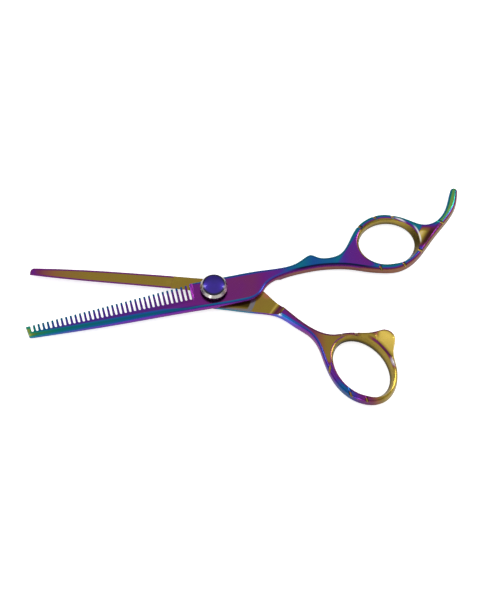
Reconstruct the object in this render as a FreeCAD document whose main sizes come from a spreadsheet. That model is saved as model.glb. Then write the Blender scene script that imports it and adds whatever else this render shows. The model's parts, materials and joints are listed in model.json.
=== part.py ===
import FreeCAD, Part
import math
import os
import Sketcher

# Thinning shears: one toothed half, one plain half and a dial-tension pivot.
# Millimetres.  x runs along the shears (tips at -x, finger rings at +x), y across
# them and z up through the pivot.  z = 0 is the back of the pivot screw's head;
# the two halves slide on each other at z = blade_thick + head_thick.

os.makedirs("parts", exist_ok=True)
doc = FreeCAD.newDocument("thinning_shears")
V = FreeCAD.Vector
Z = V(0, 0, 1)
THROUGH = "60"     # length of a cut that passes through everything
TIP_END = -70      # the blades' ends are not rounded beyond this x

SIZES = {
    # both halves
    "blade_thick": 2.2,        # thickness of each half at the pivot
    "handle_thick": 4.4,       # thickness of shanks and finger rings
    "edge_round": 1.1,         # rounding of handle and spine edges
    "ride_gap": 0.03,          # running gap between the halves
    "toothed_step": 3.5,       # wheel radius of the toothed half's ride step
    "plain_step": 6.1,         # wheel radius of the plain half's ride step
    "hollow_depth": 0.07,      # relief ground into the blades' inner faces
    "ride_radius": 16.5,       # end of the flat ride area round the pivot
    "notch_round": 0.6,        # radius of the decorative notches
    "notch_rise": 0.35,        # a notch's axis above the front, at its inner end
    "notch_dive": 0.75,        # and below the front, at its outer end
    # finger ring of the toothed half
    "finger_x": 65.8, "finger_y": 20.25, "finger_tilt": -5,
    "finger_long": 10.65, "finger_wide": 9.25, "finger_wall": 2.65,
    # thumb ring of the plain half
    "thumb_x": 56.25, "thumb_y": -33.0, "thumb_tilt": -55,
    "thumb_long": 13.6, "thumb_wide": 9.2, "thumb_wall": 2.65,
    # funnel at the front of each finger hole: its mouth and its throat
    "mouth_side": 1.0, "mouth_long": 1.2, "mouth_wide": 0.2,
    "throat_side": 0.2, "throat_less": 0.3, "throat_depth": 0.6,
    # teeth
    "tooth_gaps": 35, "gap_width": 1.12, "gap_pitch": 1.818,
    "tooth_line_tilt": 16.15, "gullet_tilt": 12.5, "tooth_lean": 11.5,
    "tooth_tip_thick": 0.9,
    "tooth_bevel": 9.5,        # degrees of the bevel ground over the teeth
    "spine_bevel": 6,          # degrees of the bevel along the toothed blade's spine
    "edge_bevel": 20,          # degrees of the plain blade's cutting bevel
    # pivot
    "bush_outer": 3.0, "bush_inner": 2.25,
    "head_radius": 3.75, "head_thick": 0.7,
    "key_radius": 2.5, "key_flat": 1.9,
    "neck_radius": 2.2, "thread_radius": 2.0, "thread_flat": 1.6,
    "screw_reach": 4.8,        # top of the screw above the ride plane
    "fit_gap": 0.03,
    "washer_radius": 4.6, "washer_thick": 0.4,
    "spring_radius": 4.2, "spring_thick": 0.3,
    "click_height": 0.17, "click_radius": 0.45, "click_at": 3.4, "click_count": 3,
    "knob_radius": 5.2, "knob_bottom": 3.15, "knob_wall": 1.1, "knob_cone": 1.2,
    "knob_top_radius": 4.5, "serration_count": 24, "serration_depth": 0.18,
    "cap_radius": 4.38, "cap_height": 1.15, "cap_plug_radius": 3.85,
    "cap_plug_depth": 0.45,
}

sheet = doc.addObject("Spreadsheet::Sheet", "Sizes")
for row, (name, value) in enumerate(SIZES.items(), 1):
    sheet.set("A%d" % row, name)
    sheet.set("B%d" % row, str(value))
    sheet.setAlias("B%d" % row, name)
doc.recompute()


def size(name):
    """A driving dimension, read from the sheet."""
    return float(sheet.get(name))


def bind(thing, prop, formula):
    """Drive a property by a formula over the sheet's names, written in braces."""
    thing.setExpression(prop, formula.replace("{", "Sizes.").replace("}", ""))


def aim(degrees):
    """Unit vector in the xy plane."""
    return V(math.cos(math.radians(degrees)), math.sin(math.radians(degrees)), 0)


def flat(points):
    """2-D pairs as vectors; vectors pass through."""
    return [p if isinstance(p, FreeCAD.Vector) else V(p[0], p[1], 0) for p in points]


def smooth(points, start=None, end=None):
    """Smooth curve through the points, with unit end tangents where given."""
    points = flat(points)
    lengths = [0.0]
    for a, b in zip(points[:-1], points[1:]):
        lengths.append(lengths[-1] + (b - a).Length)
    tangents = [V(0, 0, 0)] * len(points)
    used = [False] * len(points)
    for index, tangent in ((0, start), (-1, end)):
        if tangent is not None:
            tangents[index] = V(tangent).normalize()
            used[index] = True
    curve = Part.BSplineCurve()
    curve.interpolate(Points=points, Parameters=lengths, Tangents=tangents,
                      TangentFlags=used, Scale=False)
    return curve


def line(a, b):
    a, b = flat([a, b])
    return Part.LineSegment(a, b)


def ring_point(ring, degrees):
    """Point on the outside of a finger ring, by angle in the ring's own axes."""
    wall = size(ring + "_wall")
    along = (size(ring + "_long") + wall) * math.cos(math.radians(degrees))
    across = (size(ring + "_wide") + wall) * math.sin(math.radians(degrees))
    tilt = size(ring + "_tilt")
    centre = V(size(ring + "_x"), size(ring + "_y"), 0)
    return centre + aim(tilt) * along + aim(tilt + 90) * across


def sketch(name, geometry, body=None, placement=None):
    """Sketch holding ready geometry, on the body's XY plane unless placed."""
    if body is None:
        made = doc.addObject("Sketcher::SketchObject", name)
    else:
        made = body.newObject("Sketcher::SketchObject", name)
        plane = [f for f in body.Origin.OriginFeatures if f.Role == "XY_Plane"][0]
        made.AttachmentSupport = [(plane, "")]
        made.MapMode = "FlatFace"
        if placement is not None:
            made.AttachmentOffset = placement
    for piece in geometry:
        made.addGeometry(piece, False)
    return made


def polygon(points):
    points = flat(points)
    return [line(a, b) for a, b in zip(points, points[1:] + points[:1])]


def extrusion(name, profile, length):
    """Symmetric prism on a profile; its length follows a formula."""
    made = doc.addObject("Part::Extrusion", name)
    made.Base = profile
    made.DirMode = "Custom"
    made.Dir = Z
    made.Symmetric = True
    made.Solid = True
    bind(made, "LengthFwd", length)
    profile.Visibility = False
    return made


def cut_away(name, base, tool):
    """Base with the tool taken out of it."""
    made = doc.addObject("Part::Cut", name)
    made.Base = base
    made.Tool = tool
    doc.recompute()
    return made


def oval(name, ring, side="0", long="0", wide="0", height="0"):
    """Ellipse on a finger ring's own axes, shifted and resized by the formulas."""
    made = doc.addObject("Part::Ellipse", name)
    bind(made, "MajorRadius", "{%s_long} + %s" % (ring, long))
    bind(made, "MinorRadius", "{%s_wide} + %s" % (ring, wide))
    bind(made, "Placement.Base.x", "{%s_x} + %s" % (ring, side))
    bind(made, "Placement.Base.y", "{%s_y}" % ring)
    bind(made, "Placement.Base.z", height)
    made.Placement.Rotation = FreeCAD.Rotation(Z, size(ring + "_tilt"))
    bind(made, "Placement.Rotation.Angle", "{%s_tilt}" % ring)
    return made


def ring_blank(name, outline, ring):
    """Full-thickness half with its finger hole, before any edge is rounded."""
    slab = extrusion(name + "_slab", sketch(name + "_outline", outline), "{handle_thick}")
    hole = extrusion(name + "_finger_hole", oval(name + "_oval", ring), "{handle_thick} * 3")
    return cut_away(name + "_blank", slab, hole)


def rounded(name, blank):
    """Round every flat outline edge except those at the far tip end."""
    made = doc.addObject("Part::Fillet", name + "_rounded")
    made.Base = blank
    radius = size("edge_round")
    edges = []
    for number, edge in enumerate(blank.Shape.Edges, 1):
        heights = [v.Z for v in edge.Vertexes]
        if max(heights) - min(heights) < 1e-6 and edge.BoundBox.XMax > TIP_END:
            edges.append((number, radius, radius))
    made.Edges = edges
    doc.recompute()
    return made


def notched(name, base, ends):
    """Round nicks filed into the front edge of the rim, deeper towards the outside.

    Each nick is given by its inner end on the front and its outer end on the rim."""
    front = size("handle_thick") / 2
    nicks = []
    for number, (inner, outer) in enumerate(ends, 1):
        start = V(inner[0], inner[1], front + size("notch_rise"))
        end = V(outer[0], outer[1], front - size("notch_dive"))
        over = (end - start).normalize()
        nick = doc.addObject("Part::Cylinder", "%s_notch_%d" % (name, number))
        bind(nick, "Radius", "{notch_round}")
        nick.Height = (end - start).Length + 2
        nick.Placement = FreeCAD.Placement(start - over, FreeCAD.Rotation(Z, over))
        nicks.append(nick)
    row = doc.addObject("Part::Compound", name + "_notches")
    row.Links = nicks
    return cut_away(name + "_notched", base, row)


def flared(name, base, ring):
    """Open the front of the finger hole like a funnel towards the free side."""
    throat = oval(name + "_throat", ring, "{throat_side}", "-{throat_less}",
                  "-{throat_less}", "-{throat_depth}")
    mouth = oval(name + "_mouth", ring, "{mouth_side}", "{mouth_long}", "{mouth_wide}",
                 "{handle_thick} / 2 + 0.05")
    funnel = doc.addObject("Part::Loft", name + "_funnel")
    funnel.Sections = [throat, mouth]
    funnel.Solid = True
    return cut_away(name + "_flared", base, funnel)


def handle(name, outline, ring, nicks):
    """Full-thickness half with its edges rounded, its rim nicked and its hole flared."""
    blank = ring_blank(name, outline, ring)
    return flared(name, notched(name, rounded(name, blank), nicks), ring)


def new_body(label, base=None):
    body = doc.addObject("PartDesign::Body", label)
    body.Label = label
    if base is not None:
        body.BaseFeature = base
        base.Visibility = False
        doc.recompute()
    return body


def cut_profile(body, name, profile, length=THROUGH):
    """Cut a ready sketch through the body, equally to both sides."""
    made = body.newObject("PartDesign::Pocket", name)
    made.Refine = False
    made.Profile = profile
    made.SideType = "Symmetric"
    bind(made, "Length", length)
    profile.Visibility = False
    doc.recompute()
    body.Tip = made
    return made


def pocket(body, name, geometry, length=THROUGH, placement=None):
    """Cut a drawn area through the body, equally to both sides."""
    profile = sketch(name + "_area", geometry, body, placement)
    return cut_profile(body, name, profile, length)


def tilted(base, x_axis, y_axis):
    """Placement whose sketch axes are the two given directions."""
    x_axis = V(x_axis).normalize()
    normal = x_axis.cross(y_axis).normalize()
    rotation = FreeCAD.Rotation(x_axis, normal.cross(x_axis), normal, "XYZ")
    return FreeCAD.Placement(V(base), rotation)


def wheel_profile(radius, depth, run, lift):
    """Flat floor of length run that ends in a rising wheel-ground curve.

    The floor lies on y = 0 and ends at the origin; the open side is +y."""
    reach = math.sqrt(radius ** 2 - (radius - depth) ** 2)
    low = math.degrees(math.asin((radius - depth) / radius))
    centre = V(0, radius, 0)
    mid = centre + aim(-(90 + low) / 2) * radius
    top = V(reach, depth, 0)
    return [line((-run, 0), (0, 0)), Part.Arc(V(0, 0, 0), mid, top),
            line(top, (reach, lift)), line((reach, lift), (-run, lift)),
            line((-run, lift), (-run, 0))]


def ride_step(body, name, foot, heading, up, wheel):
    """Grind the inner face flat up to the step where the handle thickens.

    foot is where the flat ends, heading points to the rings, up is +1 when the
    material above the ride plane is removed and -1 when the material below is."""
    level = up * -size("ride_gap") / 2
    place = tilted(V(foot[0], foot[1], level), aim(heading), V(0, 0, up))
    shape = wheel_profile(size(wheel), size("blade_thick") + 0.1, 130, 6)
    return pocket(body, name, shape, "120", place)      # both ways past the shears' width


def scoop(body, name, centre, radii, heading):
    """Shallow oval hollow on the front of the handle."""
    hollow = body.newObject("PartDesign::SubtractiveEllipsoid", name)
    hollow.Refine = False
    hollow.Radius1 = radii[2]
    hollow.Radius2 = radii[0]
    hollow.Radius3 = radii[1]
    plane = [f for f in body.Origin.OriginFeatures if f.Role == "XY_Plane"][0]
    hollow.AttachmentSupport = [(plane, "")]
    hollow.MapMode = "FlatFace"
    hollow.AttachmentOffset = FreeCAD.Placement(V(*centre), FreeCAD.Rotation(Z, heading))
    body.Tip = hollow
    doc.recompute()


def relief(body, name, tip_side, pivot_side):
    """Shallow hollow ground into a blade's inner face, ended by the round ride area.

    tip_side and pivot_side are the two long borders, each from the pivot outwards."""
    radius = size("ride_radius")
    near, far = flat([tip_side[0], pivot_side[0]])
    turn = [math.degrees(math.atan2(p.y, p.x)) % 360 for p in (near, far)]
    near, far = [aim(a) * radius for a in turn]
    middle = aim(sum(turn) / 2) * radius
    one = smooth([near] + tip_side[1:])
    other = smooth([far] + pivot_side[1:])
    area = [Part.Arc(far, middle, near), one, line(tip_side[-1], pivot_side[-1]), other]
    pocket(body, name, area, "{ride_gap} + {hollow_depth} * 2")


def circle(radius, centre=(0, 0)):
    return Part.Circle(V(centre[0], centre[1], 0), Z, radius)


def d_shape(radius, flat_at, body, name, lift="0 mm"):
    """Round with one flat: radius and flat distance are sheet names or formulas."""
    angle = math.acos(0.75)
    arc = Part.ArcOfCircle(circle(1.0), angle, 2 * math.pi - angle)
    top = aim(math.degrees(angle))
    low = aim(-math.degrees(angle))
    made = sketch(name, [arc, line(low, top)], body)
    made.addConstraint(Sketcher.Constraint("Coincident", 0, 3, -1, 1))
    made.addConstraint(Sketcher.Constraint("Coincident", 0, 2, 1, 1))
    made.addConstraint(Sketcher.Constraint("Coincident", 0, 1, 1, 2))
    made.addConstraint(Sketcher.Constraint("Vertical", 1))
    made.addConstraint(Sketcher.Constraint("Radius", 0, 1.0))
    made.addConstraint(Sketcher.Constraint("DistanceX", -1, 1, 1, 1, 0.75))
    made.renameConstraint(4, "radius")
    made.renameConstraint(5, "flat")
    bind(made, "Constraints.radius", radius)
    bind(made, "Constraints.flat", flat_at)
    bind(made, "AttachmentOffset.Base.z", lift)
    return made


def round_shape(radius, body, name, lift="0 mm"):
    """Circle on the pivot axis."""
    made = sketch(name, [circle(1)], body)
    made.addConstraint(Sketcher.Constraint("Coincident", 0, 3, -1, 1))
    made.addConstraint(Sketcher.Constraint("Radius", 0, 1))
    made.renameConstraint(1, "radius")
    bind(made, "Constraints.radius", radius)
    bind(made, "AttachmentOffset.Base.z", lift)
    return made


def raise_pad(body, name, profile, length):
    """Add a prism above its sketch."""
    pad = body.newObject("PartDesign::Pad", name)
    pad.Profile = profile
    bind(pad, "Length", length)
    profile.Visibility = False
    doc.recompute()
    body.Tip = pad
    return pad


def repeat_round(body, name, feature, count):
    """Repeat a feature evenly round the pivot axis."""
    ring = body.newObject("PartDesign::PolarPattern", name)
    ring.Originals = [feature]
    ring.Axis = ([f for f in body.Origin.OriginFeatures if f.Role == "Z_Axis"][0], [""])
    ring.Angle = 360
    bind(ring, "Occurrences", count)
    body.Tip = ring
    doc.recompute()


def place_on_pivot(thing):
    """Lift a sub-part so that the screw head's back lies on z = 0."""
    bind(thing, "Placement.Base.z", "{blade_thick} + {head_thick}")


# ---------------------------------------------------------------- toothed half

def toothed_outline():
    """Front half seen from above, with the blade still a plain bar."""
    spine_slope = V(-1, -0.165, 0)
    shank_slope = V(1, 0.22, 0)
    shoulder = V(-9, 2.6, 0)
    web = V(28, 10.0, 0)
    tang_centre = V(91.35, 42.0, 0)
    tang_left, tang_right = [tang_centre + aim(a) * 1.4 for a in (165, -5)]
    tang_tip = tang_centre + aim(80) * 1.4
    end_top = shoulder - shank_slope * 65
    end_low = V(-74, -20.85, 0)
    upper = [web, (32, 11.75), (34.6, 13.75), (36.95, 14.95), (39.4, 14.1), (44, 13.8),
             (48, 15.3), (51, 19.6)]
    upper += [ring_point("finger", a) for a in (152, 128, 100)]
    upper += [(68.4, 31.75), (72.5, 30.65), (76.3, 29.05), (80.5, 28.0), (83.2, 28.6),
              (85.4, 30.1), (88.1, 34.4), tang_left]
    lower = [tang_right, (92.1, 36.9), (88, 29.1), (84, 23.6), (80, 17.4)]
    lower += [ring_point("finger", a) for a in (-42, -66, -92)]
    lower += [(58, 9.0), (52, 9.95), (46, 10.1), (40, 9.6), (34, 8.4), (28, 6.7),
              (24, 4.95), (20, 1.8), (18.7, -0.35), (17.5, -2.15), (16, -3.45),
              (12, -4.9), (6, -6.15), (0, -7.25), (-16, -10.25), (-34, -13.85),
              (-52, -17.15), end_low]
    return [line(end_top, shoulder),
            smooth([shoulder, (0, 4.6), (8, 6.35), (16, 7.95), (22, 8.85), web],
                   shank_slope, V(1, 0.27, 0)),
            smooth(upper, V(1, 0.27, 0), aim(75)),
            Part.Arc(tang_left, tang_tip, tang_right),
            smooth(lower, aim(-95), spine_slope),
            line(end_low, end_top)]


def toothed_half():
    """Front half: thirty-five-slot comb blade, shank, finger ring and finger rest."""
    nicks = [((56.6, 26.1), (54.9, 26.9)), ((61.9, 29.9), (60.7, 31.6)),
             ((68.3, 30.3), (67.8, 32.0)), ((62.7, 11.4), (64.2, 8.0)),
             ((71.6, 12.0), (73.6, 9.6)), ((77.6, 17.1), (80.2, 16.1)),
             ((85.4, 29.1), (88.4, 28.0))]
    body = new_body("toothed_half", handle("toothed", toothed_outline(), "finger", nicks))
    ride_step(body, "toothed_ride_face", (22.3, 6.5), 12, -1, "toothed_step")

    # blade outline: tooth tips on one straight line, square end with a small round
    start = V(-9.2, 2.38, 0)
    tilt = size("tooth_line_tilt")
    end = start - aim(tilt) * 65.0
    heel = V(-70.45, -19.2, 0)
    low = V(-69.5, -20.09, 0)
    cut = [line((-9.2, 12), start), line(start, end), line(end, heel),
           Part.Arc(heel, V(-70.25, -19.75, 0), low), line(low, (-69.2, -26)),
           line((-69.2, -26), (-90, -26)), line((-90, -26), (-90, 12)),
           line((-90, 12), (-9.2, 12))]
    pocket(body, "blade_profile", cut)

    # long bevel thinning the blade towards the tooth tips, ended by a wheel mark
    bevel = size("tooth_bevel")
    normal = aim(90 + tilt) * math.sin(math.radians(bevel)) + Z * math.cos(math.radians(bevel))
    foot = start + aim(tilt) * -1.2 + V(0, 0, size("tooth_tip_thick"))
    place = tilted(foot, aim(tilt), normal)
    pocket(body, "tooth_bevel_cut", wheel_profile(2.6, 2.4, 90, 6), THROUGH, place)

    # narrow bevel along the spine; its upper border runs down with the long bevel
    ridge_high = V(-16, -8.4, 2.2)
    ridge_low = V(-70, -18.5, 1.4)
    run = (ridge_high - ridge_low).normalize()
    slope = math.radians(size("spine_bevel"))
    normal = run.cross(Z) * math.sin(slope) + Z * math.cos(slope)
    block = polygon([(-90, 0), (60, 0), (60, 6), (-90, 6)])
    pocket(body, "spine_bevel_cut", block, THROUGH, tilted(ridge_high, run, normal))

    relief(body, "inner_hollow",
           [(-16, -0.25), (-69.3, -15.7)],
           [(-13.8, -9.1), (-34, -13.1), (-52, -16.4), (-69.0, -19.2)])

    # one gap between teeth, then the row of gaps along the gullet line
    half = size("gap_width") / 2
    root = half * 0.86             # half width and height of the round gullet
    rise = half * 0.9
    wide = half * 1.08             # the gap widens slightly towards the tooth tips
    across = aim(size("tooth_lean") + 90)
    along = aim(size("tooth_lean"))
    bottom = V(-8.57, -4.5, 0)

    def at(u, v):
        return bottom + along * u + across * v

    gap = [Part.Arc(at(-root, rise), at(0, 0), at(root, rise)),
           line(at(root, rise), at(wide, 12)),
           line(at(wide, 12), at(-wide, 12)),
           line(at(-wide, 12), at(-root, rise))]
    profile = sketch("tooth_gap_area", gap, body)
    row = line(bottom, bottom - aim(size("gullet_tilt")) * 10)
    profile.addGeometry(row, True)
    first = cut_profile(body, "tooth_gap", profile)
    gaps = body.newObject("PartDesign::LinearPattern", "tooth_gap_row")
    gaps.Refine = False
    gaps.Originals = [first]
    gaps.Direction = (profile, ["Axis0"])
    bind(gaps, "Length", "{gap_pitch} * ({tooth_gaps} - 1)")
    bind(gaps, "Occurrences", "{tooth_gaps}")
    body.Tip = gaps
    doc.recompute()

    # pivot bore for the bush
    cut_profile(body, "bush_bore", round_shape("{bush_outer}", body, "bush_bore_area"))

    # finger rest: hollow web between ring and tang
    scoop(body, "web_hollow", (80.7, 23.7, 2.9), (8.2, 2.5, 1.7), 62)
    place_on_pivot(body)
    return body


# ------------------------------------------------------------------ plain half

def plain_outline():
    """Rear half seen from above, before the cutting edge is ground."""
    top_slope = V(1, -0.015, 0)
    heel_slope = V(-1, 0.12, 0)
    heel = V(4, -7.25, 0)
    left_top = V(-74, 10.0, 0)
    left_low = heel + heel_slope * 78
    edge = [left_top, (-56, 9.5), (-40, 8.55), (-28, 7.6), (-14, 6.42), (-4.5, 5.55),
            (4, 4.85), (10, 3.95), (15, 2.3), (18.9, 0.1),
            (22, -3.0), (26, -6.7), (30, -10.3), (34, -13.75), (38, -16.55),
            (42, -18.4), (46, -19.0), (50, -18.4), (54, -18.2), (59, -18.2),
            (62.4, -17.5), (64.8, -16.85), (67.5, -17.75), (69.05, -20.1),
            (68.75, -23.2), (68.5, -26), (68.9, -29.5), (69.75, -33.2)]
    edge += [ring_point("thumb", a) for a in (20, 0, -20, -45, -70, -92)]
    edge += [(41.6, -29), (39.7, -23.6), (36, -18.4), (32, -15.55), (28, -12.6),
             (24, -10.25), (20, -9.3), (16, -8.85), (10, -8.1), heel]
    return [smooth(edge, top_slope, heel_slope),
            line(heel, left_low), line(left_low, left_top)]


def plain_half():
    """Rear half: plain knife blade, shank and thumb ring."""
    nicks = [((48.3, -19.8), (48.6, -18.0)), ((54.3, -19.7), (54.2, -17.9)),
             ((44.6, -32.3), (43.6, -36.4)), ((51.5, -41.8), (52.3, -45.6)),
             ((57.8, -44.9), (58.6, -48.4))]
    body = new_body("plain_half", handle("plain", plain_outline(), "thumb", nicks))
    ride_step(body, "plain_ride_face", (22.4, -6.8), -37, 1, "plain_step")

    # cutting edge and tip: slightly bowed edge, curved heel, small blunt nose
    heel = V(3.2, -9.5, 0)
    edge_start = V(-11, 0.8, 0)
    nose_low = V(-70.1, 7.2, 0)
    nose_side = V(-69.95, 8.3, 0)
    nose_high = V(-68.8, 9.8, 0)
    cut = [line((-90, -12), (3.2, -12)), line((3.2, -12), heel),
           smooth([heel, (1.4, -7.4), (-2.2, -5.4), (-5.6, -2.4), (-8.4, 0.1), edge_start],
                  V(-0.35, 1, 0), V(-1, 0.09, 0)),
           smooth([edge_start, (-30, 2.72), (-50, 4.68), nose_low], V(-1, 0.09, 0)),
           line(nose_low, nose_side), Part.Arc(nose_side, V(-69.62, 9.25, 0), nose_high),
           line(nose_high, (-67.5, 10.4)), line((-67.5, 10.4), (-67.5, 14)),
           line((-67.5, 14), (-90, 14)),
           line((-90, 14), (-90, -12))]
    pocket(body, "cutting_edge", cut)

    relief(body, "inner_hollow",
           [(-16.4, 1.95), (-30, 3.32), (-50, 5.28), (-69.3, 7.7)],
           [(-15.4, 5.95), (-28, 7.0), (-40, 7.95), (-56, 8.9), (-68.8, 9.2)])

    # hollow-ground cutting bevel on the outer face
    slope = math.radians(size("edge_bevel"))
    along = aim(-5.6)
    normal = aim(-95.6) * math.sin(slope) - Z * math.cos(slope)
    foot = V(-9.0, 0.62, -0.14)
    place = tilted(foot, along, normal)
    pocket(body, "edge_bevel_cut", wheel_profile(4.0, 2.4, 90, 6), THROUGH, place)

    # keyed pivot hole
    key = d_shape("{key_radius} + {fit_gap}", "{key_flat} + {fit_gap}", body, "key_hole_area")
    cut_profile(body, "key_hole", key)

    # spur: a broad shallow face beside the ring's rim
    scoop(body, "spur_hollow", (67.0, -24.0, 2.9), (9.0, 3.8, 1.3), -51)
    place_on_pivot(body)
    return body


# ----------------------------------------------------------------------- pivot

def revolved(label, points, domed=False):
    """Turned part: its half section in the XZ plane, spun about the pivot axis.

    points are (radius, height) formulas over the sheet's names.  A domed part ends
    in an arc from the last rim point to the crown, which is centred on the axis."""
    body = new_body(label)
    made = body.newObject("Sketcher::SketchObject", label + "_section")
    plane = [f for f in body.Origin.OriginFeatures if f.Role == "XZ_Plane"][0]
    made.AttachmentSupport = [(plane, "")]
    made.MapMode = "FlatFace"
    known = {name: size(name) for name in SIZES}
    spots = []
    for radius, height in points:
        spots.append((evaluate(radius, known), evaluate(height, known)))
    count = len(points)
    outline = polygon(spots)
    if domed:
        outline[count - 2] = dome_arc(spots[-2], spots[-1])
    for piece in outline:
        made.addGeometry(piece, False)
    for number in range(count):
        made.addConstraint(Sketcher.Constraint("Coincident", number, 2,
                                               (number + 1) % count, 1))
    for number, (radius, height) in enumerate(points):
        x, y = spots[number]
        if abs(x) < 1e-9:
            made.addConstraint(Sketcher.Constraint("PointOnObject", number, 1, -2))
        else:
            index = made.addConstraint(Sketcher.Constraint("DistanceX", -1, 1, number, 1, x))
            made.renameConstraint(index, "radius_%d" % number)
            bind(made, "Constraints.radius_%d" % number, radius)
        index = made.addConstraint(Sketcher.Constraint("DistanceY", -1, 1, number, 1, y))
        made.renameConstraint(index, "height_%d" % number)
        bind(made, "Constraints.height_%d" % number, height)
    if domed:
        made.addConstraint(Sketcher.Constraint("PointOnObject", count - 2, 3, -2))
    doc.recompute()
    spin = body.newObject("PartDesign::Revolution", label + "_turned")
    spin.Profile = made
    spin.ReferenceAxis = (made, ["V_Axis"])
    spin.Angle = 360
    made.Visibility = False
    doc.recompute()
    body.Tip = spin
    return body


def dome_arc(rim, crown):
    """Arc from a rim point to the crown on the axis, level at the crown."""
    rise = crown[1] - rim[1]
    sphere = (rim[0] ** 2 + rise ** 2) / (2 * rise)
    centre = V(0, crown[1] - sphere, 0)
    swing = math.degrees(math.asin(rim[0] / sphere))
    middle = centre + aim(90 - swing / 2) * sphere
    return Part.Arc(V(rim[0], rim[1], 0), middle, V(crown[0], crown[1], 0))


def evaluate(formula, known):
    """Value of a sum of sheet names and numbers such as {a} + {b} - 0.2."""
    total = 0.0
    sign = 1
    for word in formula.split():
        if word in "+-":
            sign = 1 if word == "+" else -1
        else:
            total += sign * (known[word[1:-1]] if word[0] == "{" else float(word))
    return total


def pivot_bush():
    """Bearing bush pressed into the front half."""
    low = "{ride_gap}"
    high = "{blade_thick}"
    body = revolved("pivot_bush", [("{bush_inner}", low), ("{bush_outer}", low),
                                   ("{bush_outer}", high), ("{bush_inner}", high)])
    place_on_pivot(body)
    return body


def pivot_screw():
    """Fixed pivot screw: flat head, keyed neck, round bearing neck, flatted thread."""
    back = "0 - {blade_thick} - {head_thick}"
    seat = "0 - {blade_thick} - {fit_gap}"
    body = revolved("pivot_screw", [("0", back), ("{head_radius} - 0.2", back),
                                    ("{head_radius}", back + " + 0.2"),
                                    ("{head_radius}", seat), ("0", seat)])
    key = d_shape("{key_radius}", "{key_flat}", body, "key_area",
                  "-{blade_thick} - {head_thick} * 0.5")
    raise_pad(body, "key_neck", key, "{blade_thick} + {head_thick} * 0.5")
    neck = round_shape("{neck_radius}", body, "neck_area")
    raise_pad(body, "bearing_neck", neck, "{blade_thick}")
    thread = d_shape("{thread_radius}", "{thread_flat}", body, "thread_area", "{blade_thick} * 0.5")
    raise_pad(body, "thread", thread, "{screw_reach} - {blade_thick} * 0.5")
    place_on_pivot(body)
    return body


def friction_washer():
    """Nylon washer between the front half and the click spring."""
    low = "{blade_thick} + {fit_gap}"
    high = "{blade_thick} + {fit_gap} + {washer_thick}"
    inner = "{neck_radius} + 0.1"
    body = revolved("friction_washer", [(inner, low), ("{washer_radius}", low),
                                        ("{washer_radius}", high), (inner, high)])
    place_on_pivot(body)
    return body


def click_spring():
    """Keyed spring plate whose bumps click into the dial's serrations."""
    body = new_body("click_spring")
    low = "{blade_thick} + {fit_gap} + {washer_thick}"
    disc = round_shape("{spring_radius}", body, "disc_area", low)
    raise_pad(body, "disc", disc, "{spring_thick}")
    bump = sketch("bump_area", [circle(size("click_radius"), (size("click_at"), 0))], body)
    bump.addConstraint(Sketcher.Constraint("Radius", 0, size("click_radius")))
    bump.addConstraint(Sketcher.Constraint("PointOnObject", 0, 3, -1))
    bump.addConstraint(Sketcher.Constraint("DistanceX", -1, 1, 0, 3, size("click_at")))
    bump.renameConstraint(0, "radius")
    bump.renameConstraint(2, "distance")
    bind(bump, "Constraints.radius", "{click_radius}")
    bind(bump, "Constraints.distance", "{click_at}")
    bind(bump, "AttachmentOffset.Base.z", low + " + {spring_thick} * 0.5")
    first = raise_pad(body, "bump", bump, "{spring_thick} * 0.5 + {click_height}")
    repeat_round(body, "bumps", first, "{click_count}")
    hole = d_shape("{thread_radius} + {fit_gap}", "{thread_flat} + {fit_gap}", body,
                   "spring_hole_area")
    cut_profile(body, "spring_hole", hole)
    place_on_pivot(body)
    return body


def tension_knob():
    """Dial: threaded body with a serrated underside, a wall and a steep cone."""
    low = "{knob_bottom}"
    wall = "{knob_bottom} + {knob_wall}"
    top = "{knob_bottom} + {knob_wall} + {knob_cone}"
    seat = top + " - {cap_plug_depth}"
    bore = "{thread_radius} + {fit_gap}"
    pocket_radius = "{cap_plug_radius} + {fit_gap}"
    body = revolved("tension_knob", [(bore, low), ("{knob_radius} - 0.25", low),
                                     ("{knob_radius}", low + " + 0.25"),
                                     ("{knob_radius}", wall), ("{knob_top_radius}", top),
                                     (pocket_radius, top), (pocket_radius, seat),
                                     (bore, seat)])
    groove = body.newObject("PartDesign::SubtractiveCylinder", "serration")
    bind(groove, "Radius", "{serration_depth} * 1.3")
    groove.Height = 2.1
    plane = [f for f in body.Origin.OriginFeatures if f.Role == "XY_Plane"][0]
    groove.AttachmentSupport = [(plane, "")]
    groove.MapMode = "FlatFace"
    groove.AttachmentOffset = FreeCAD.Placement(V(2.5, 0, 0), FreeCAD.Rotation(Z, V(1, 0, 0)))
    bind(groove, "AttachmentOffset.Base.z", "{knob_bottom} - {serration_depth} * 0.3")
    body.Tip = groove
    doc.recompute()
    repeat_round(body, "serrations", groove, "{serration_count}")
    place_on_pivot(body)
    return body


def knob_cap():
    """Domed cap pressed into the dial."""
    seat = "{knob_bottom} + {knob_wall} + {knob_cone} + {fit_gap}"
    plug = "{knob_bottom} + {knob_wall} + {knob_cone} + {fit_gap} - {cap_plug_depth}"
    body = revolved("knob_cap", [("0", plug), ("{cap_plug_radius}", plug),
                                 ("{cap_plug_radius}", seat), ("{cap_radius}", seat),
                                 ("{cap_radius}", seat + " + 0.22"),
                                 ("0", seat + " + {cap_height}")], domed=True)
    place_on_pivot(body)
    return body


makers = [toothed_half, plain_half, pivot_screw, pivot_bush, friction_washer,
          click_spring, tension_knob, knob_cap]
parts = [make() for make in makers]
doc.recompute()

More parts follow.
